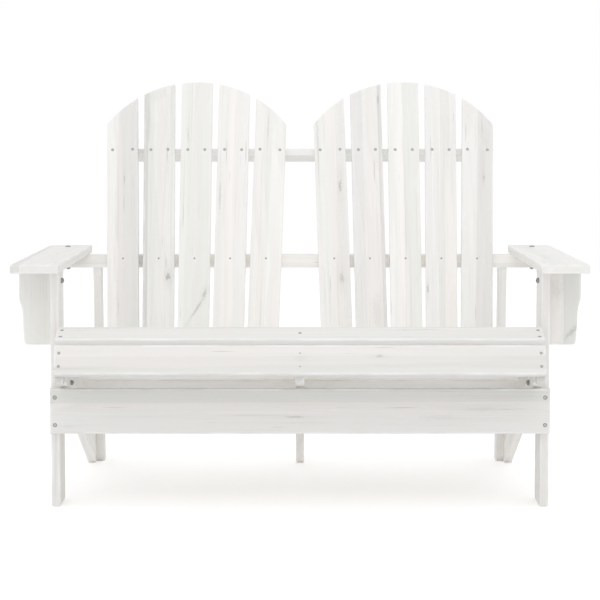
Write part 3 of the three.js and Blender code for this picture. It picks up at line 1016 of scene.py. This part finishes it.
@dataclass
class Screws:
    """The countersunk screws with cross recesses that hold the boards."""

    head_radius: float = 0.004
    head_height: float = 0.0014
    head_taper: float = 0.7
    sunk: float = 0.0003
    recess_width: float = 0.001
    recess_reach: float = 0.0023
    recess_depth: float = 0.0008
    sides: int = 20
    seed: int = 7

    def _points(self, boards: Iterable[Board]) -> Object:
        """Makes one point for each screw, with the way that it faces and its size.

        Args:
            boards: the boards that hold screws.

        Returns:
            The object that holds the points.
        """
        seats = [seat for board in boards for seat in board.screws]
        mesh = bpy.data.meshes.new("screw points")
        mesh.from_pydata([seat.point - seat.axis * self.sunk for seat in seats], [], [])
        store_attribute(mesh, "axis", np.array([seat.axis for seat in seats]))
        store_attribute(mesh, "size", np.array([seat.size for seat in seats]))
        return add_object("countersunk_screws", mesh)

    def _tree(self) -> NodeTree:
        """Builds the tree that sets a turned head on every point.

        Returns:
            The tree, with an input for each of this class's measures that it reads.
        """
        w = Group("screws on points", {
            "Geometry": ("Points",), "Material": ("Finish",), "Int": ("Sides", "Seed"),
            "Float": ("Head Radius", "Head Height", "Head Taper",
                      "Recess Width", "Recess Reach", "Recess Depth"),
        }, {"Geometry": ("Screws",)}, "Geometry")
        given = w.given
        head = w.node("GeometryNodeMeshCone", {
            "Vertices": given["Sides"], "Radius Top": given["Head Radius"],
            "Radius Bottom": w.times(given["Head Radius"], given["Head Taper"]),
            "Depth": given["Head Height"]})
        sunk_head = w.node("GeometryNodeTransform", {
            "Geometry": head.outputs["Mesh"],
            "Translation": w.joined(Z=w.times(given["Head Height"], -1.0))})
        cut = w.node("GeometryNodeMeshBoolean", {"Mesh 1": sunk_head.outputs[0]},
                     operation="DIFFERENCE", solver="EXACT")
        width = given["Recess Width"]
        reach, depth = (w.times(given[f"Recess {name}"], 2.0) for name in ("Reach", "Depth"))
        for size in (w.joined(X=reach, Y=width, Z=depth), w.joined(X=width, Y=reach, Z=depth)):
            w.feed(cut, {"Mesh 2": w.node("GeometryNodeMeshCube", {"Size": size}).outputs["Mesh"]})
        axis, size = (w.node("GeometryNodeInputNamedAttribute", {"Name": name}, data_type=kind).outputs[0]
                      for name, kind in (("axis", "FLOAT_VECTOR"), ("size", "FLOAT")))
        facing = w.node("FunctionNodeAlignRotationToVector", {"Vector": axis}, axis="Z")
        turn = w.node("FunctionNodeRandomValue", {"Max": math.tau, "Seed": given["Seed"]}, data_type="FLOAT")
        chance = next(s for s in turn.outputs if s.type == "VALUE" and s.enabled)
        spin = w.node("FunctionNodeEulerToRotation", {0: w.joined(Z=chance)})
        turned = w.node("FunctionNodeRotateRotation", {0: facing.outputs[0], 1: spin.outputs[0]},
                        rotation_space="LOCAL")
        placed = w.node("GeometryNodeInstanceOnPoints", {
            "Points": given["Points"], "Instance": cut.outputs["Mesh"], "Rotation": turned.outputs[0],
            "Scale": size})
        real = w.node("GeometryNodeRealizeInstances", {"Geometry": placed.outputs[0]})
        dressed = w.node("GeometryNodeSetMaterial", {
            "Geometry": real.outputs[0], "Material": given["Finish"]})
        w.feed(w.end, {"Screws": dressed.outputs[0]})
        return w.tree

    def build(self, boards: Iterable[Board]) -> None:
        """Sets a screw in every seat, all of them in one piece.

        Args:
            boards: the boards that hold screws.
        """
        piece = self._points(boards)
        modifier = piece.modifiers.new("screws", "NODES")
        modifier.node_group = self._tree()
        values = {name.replace("_", " ").title(): value for name, value in vars(self).items()}
        values["Finish"] = SCREW_STEEL.material
        for socket in modifier.node_group.interface.items_tree:
            if socket.in_out == "INPUT" and socket.name in values:
                modifier[socket.identifier] = values[socket.name]
        bake_modifiers(piece)
        finish_piece(piece)


@dataclass
class Fasteners:
    """The bolts, studs and nuts: turned shanks with threads, domed heads and chamfered nuts."""

    shank_radius: float = 0.003
    thread_pitch: float = 0.001
    thread_depth: float = 0.0004
    threaded: float = 0.014
    head_radius: float = 0.0065
    head_height: float = 0.0026
    dome_rim: float = 1.5
    dome_steps: int = 6
    socket_radius: float = 0.0023
    socket_depth: float = 0.0015
    nut_across: float = 0.01
    nut_bore: float = 0.0033
    nut_face: float = 0.97
    nut_slope: float = 30
    chamfer: float = 0.0006
    sides: int = 36
    sharp_from: float = 40

    def _ring(self, radius: float, height: float, corners: bool = False) -> np.ndarray:
        """Gives one ring of points round +Z.

        Args:
            radius: the ring's radius, or that of the circle inside the hexagon.
            height: its height.
            corners: whether the ring is a hexagon.

        Returns:
            The ring's points.
        """
        angle = np.arange(self.sides) * math.tau / self.sides
        reach = np.full(self.sides, radius)
        if corners:
            off = (angle + math.pi / 6) % (math.pi / 3) - math.pi / 6
            reach = radius / np.cos(off)
        return np.stack([reach * np.cos(angle), reach * np.sin(angle), np.full(self.sides, height)], 1)

    def _threads(self, start: float, end: float) -> list[np.ndarray]:
        """Gives the rings of a thread's ridges between two heights."""
        bases = [start + i * self.thread_pitch for i in range(int((end - start) / self.thread_pitch))]
        return [self._ring(self.shank_radius - depth, base + rise) for base in bases
                for depth, rise in ((self.thread_depth, 0), (0, self.thread_pitch / 2))]

    def _bolt(self, length: float, bore: Bore) -> Skin:
        """Builds a bolt from zero up to its length.

        Args:
            length: its whole length.
            bore: what its head has in it; a solid one is a stud with no head and two threads.

        Returns:
            Its points and faces.
        """
        tip = self.shank_radius - self.chamfer
        rings = [self._ring(tip, 0), *self._threads(self.chamfer, self.threaded),
                 self._ring(self.shank_radius, self.threaded)]
        if bore is Bore.SOLID:
            return skin([*rings, *self._threads(length - self.threaded, length - self.chamfer),
                         self._ring(tip, length)])
        seat = length - self.head_height
        rings += [self._ring(self.shank_radius, seat), self._ring(self.head_radius, seat)]
        rim = self.socket_radius * self.dome_rim
        for i in range(1, self.dome_steps + 1):
            angle = math.pi / 2 * i / self.dome_steps
            radius = rim + (self.head_radius - rim) * math.cos(angle)
            rings.append(self._ring(radius, seat + self.head_height * math.sin(angle)))
        return skin(rings + [self._ring(self.socket_radius, height, corners=True)
                             for height in (length, length - self.socket_depth)])

    def _nut(self, height: float) -> Skin:
        """Builds a hexagon nut with chamfered corners and a bore.

        Args:
            height: its height above zero.

        Returns:
            Its points and faces.
        """
        half = self.nut_across / 2
        face = half * self.nut_face
        hexagon = self._ring(half, 0, corners=True)
        drop = (np.linalg.norm(hexagon[:, :2], axis=1) - face) * math.tan(math.radians(self.nut_slope))
        low, high = hexagon.copy(), hexagon.copy()
        low[:, 2], high[:, 2] = drop, height - drop
        mouth = self.nut_bore + self.chamfer
        bore = [self._ring(*ring) for ring in (
            (mouth, height), (self.nut_bore, height - self.chamfer),
            (self.nut_bore, self.chamfer), (mouth, 0))]
        return skin([self._ring(face, 0), low, high, self._ring(face, height), *bore], closed=True)

    def _place(self, node: str, axis: Vector, bore: Bore = Bore.HEX_SOCKET) -> None:
        """Puts a fastener where its node of the frame is.

        Args:
            node: the frame's node.
            axis: the way from the thread's end to the head.
            bore: what the bolt's head has in it.
        """
        low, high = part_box(node)
        length = abs((high - low).dot(axis))
        points, faces = self._nut(length) if "_nut" in node else self._bolt(length, bore)
        turn = np.array(axis.to_track_quat("Z", "Y").to_matrix())
        foot = (low + high) / 2 - axis * length / 2
        mesh = bpy.data.meshes.new(node)
        mesh.from_pydata((points @ turn.T + np.array(foot)).tolist(), [], faces)
        mesh.shade_smooth()
        mesh.set_sharp_from_angle(angle=math.radians(self.sharp_from))
        mesh.materials.append(BOLT_STEEL.material)
        finish_piece(add_object(f"{node}_steel", mesh), [node])

    def build(self) -> None:
        """Makes every bolt, stud and nut."""
        for side in Side:
            outwards = RIGHT * side.value
            for level in ("lower", "upper"):
                for kind in ("bolt", "nut"):
                    self._place(f"leg_{kind}_{level}_{side.label}", outwards)
            for kind in ("bolt", "nut"):
                self._place(f"arm_{kind}_{side.label}", UP)
            self._place(f"bracket_stud_{side.label}", outwards, Bore.SOLID)
            self._place(f"bracket_nut_{side.label}", outwards)


@dataclass
class Studio:
    """A white studio: pale floor, even light with a faint key from above, and the camera.

    The boards are white and light each other many times over, which takes more diffuse bounces
    than usual.
    """

    lens: float = 128.957
    sensor: float = 36
    camera_distance: float = 4.62475
    camera_height: float = 0.82913
    camera_dip: float = 4.684
    diffuse_bounces: int = 12
    world_light: float = 0.92
    key_light: float = 20
    key_place: tuple[float, float, float] = (0, -2.6, 3.4)
    key_aim: tuple[float, float, float] = (0, 0, 0.4)
    key_size: tuple[float, float] = (4.5, 3.0)
    floor_size: float = 14
    floor_drop: float = 0.0008
    floor_colour: Colour = (0.97, 0.97, 0.97)
    floor_roughness: float = 0.9
    floor_shine: float = 0.1
    floor_lift: float = 0.22
    white: Colour = (1, 1, 1)

    def _world(self) -> None:
        """Makes the even light of the room, which shows plain white behind the loveseat."""
        world = bpy.data.worlds.new("studio")
        bpy.context.scene.world = world
        world.use_nodes = True
        w = Wiring(world.node_tree)
        strength = w.math("MULTIPLY_ADD", w.seen(), 1 - self.world_light, self.world_light)
        w.feed(world.node_tree.nodes["Background"], {"Color": self.white, "Strength": strength})

    def _floor(self) -> None:
        """Makes the pale floor, which stays white apart from the loveseat's shadow."""
        mesh = bpy.data.meshes.new("floor")
        half = self.floor_size / 2
        corners = [(-half, -half), (half, -half), (half, half), (-half, half)]
        mesh.from_pydata([(x, y, -self.floor_drop) for x, y in corners], [], [range(4)])
        made, w, shader = new_material("pale floor")
        w.feed(shader, {
            "Base Color": self.floor_colour,
            "Roughness": self.floor_roughness,
            "Specular IOR Level": self.floor_shine,
            "Emission Color": self.white,
            "Emission Strength": w.times(w.seen(), self.floor_lift),
        })
        mesh.materials.append(made)
        add_object("floor", mesh)

    def _key(self) -> None:
        """Hangs the soft lamp above the front of the loveseat."""
        light = bpy.data.lights.new("key", "AREA")
        light.shape, (light.size, light.size_y), light.energy = "RECTANGLE", self.key_size, self.key_light
        lamp = add_object("key", light)
        lamp.location = self.key_place
        way = Vector(self.key_aim) - Vector(self.key_place)
        lamp.rotation_euler = way.to_track_quat("-Z", "Y").to_euler()
        lamp.visible_camera = False

    def build(self) -> None:
        """Makes the room and sets the camera at the photograph's angle."""
        self._world()
        self._floor()
        self._key()
        data = bpy.data.cameras.new("camera")
        data.lens, data.sensor_width, data.sensor_fit = self.lens, self.sensor, "HORIZONTAL"
        camera = add_object("camera", data)
        leg_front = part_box("front_leg_left")[0].y
        camera.location = (0, leg_front - self.camera_distance, self.camera_height)
        camera.rotation_euler = (math.radians(90 - self.camera_dip), 0, 0)
        scene = bpy.context.scene
        scene.camera = camera
        scene.view_settings.view_transform = "Standard"
        scene.cycles.diffuse_bounces = self.diffuse_bounces


def main() -> None:
    """Builds the loveseat and its room."""
    logging.basicConfig(level=logging.INFO, format="%(name)s: %(message)s")
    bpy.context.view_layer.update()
    boards = []
    for assembly in (SeatFrame(), Seat(), Backs(), Arms()):
        boards += assembly.build()
        log.info("%s done", type(assembly).__name__)
    Screws().build(boards)
    Fasteners().build()
    Studio().build()


if __name__ == "__main__":
    main()
